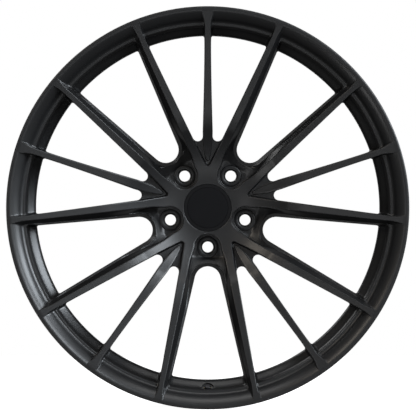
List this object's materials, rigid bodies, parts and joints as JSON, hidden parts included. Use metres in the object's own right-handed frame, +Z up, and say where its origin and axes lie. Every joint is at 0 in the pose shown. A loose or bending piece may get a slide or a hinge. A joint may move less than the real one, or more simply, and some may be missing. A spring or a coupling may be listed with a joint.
{
  "type": "forged road and race wheel rim",
  "caption": "One-piece forged wheel with grouped slim spokes, a stepped lip, a snap-in plain centre cap and a short clamp-in tyre valve.",
  "frame": {"origin": "centre of the hub mounting face", "axes": "-Y towards the outer face of the wheel, +Y towards the car, +Z up, with the valve at the bottom"},
  "size_m": [0.5727, 0.2674, 0.5728],
  "materials": {
    "satin_black": "satin clear coat",
    "cap_black": "satin",
    "spring_steel": "drawn wire",
    "foam_pad": "matt",
    "inlay_black": "satin",
    "valve_brass": "turned",
    "black_rubber": "matt",
    "zinc_steel": "zinc plated",
    "nut_black": "black anodised",
    "red_seal": "matt",
    "valve_cap_black": "black anodised"
  },
  "bodies": {
    "wheel": {"wheel_forging": "satin_black", "valve_stem": "valve_brass", "valve_grommet": "black_rubber", "valve_washer": "zinc_steel", "valve_nut": "nut_black", "core_plug": "valve_brass", "core_barrel": "valve_brass", "core_barrel_seal": "red_seal", "core_spring": "spring_steel"},
    "centre_cap": {"cap_shell": "cap_black", "cap_spring_ring": "spring_steel", "cap_adhesive_pad": "foam_pad", "cap_inlay": "inlay_black"},
    "valve_core_pin": {"core_pin": "valve_brass", "core_cup_seal": "black_rubber"},
    "valve_cap_lift": {"valve_cap_liner": "red_seal"},
    "valve_cap": {"valve_cap_shell": "valve_cap_black"}
  },
  "joints": [
    {"name": "centre_cap_pull", "type": "slide", "parent": "wheel", "child": "centre_cap", "axis": [0, -1, 0], "range_m": [0, 0.03]},
    {"name": "core_pin_press", "type": "slide", "parent": "wheel", "child": "valve_core_pin", "axis": [0, 0.788, -0.6157], "range_m": [0, 0.0012], "stiffness_N_per_m": 900, "springref_m": -0.0006},
    {"name": "valve_cap_rise", "type": "slide", "parent": "wheel", "child": "valve_cap_lift", "axis": [0, -0.788, 0.6157], "range_m": [0, 0.00397]},
    {"name": "valve_cap_turn", "type": "hinge", "parent": "valve_cap_lift", "child": "valve_cap", "pos_m": [0, -0.05885, -0.2581], "axis": [0, -0.788, 0.6157], "range_deg": [0, 1800]}
  ],
  "couplings": [
    {"joint": "valve_cap_turn", "follows": "valve_cap_rise", "rad_per_m": 7913.3}
  ]
}
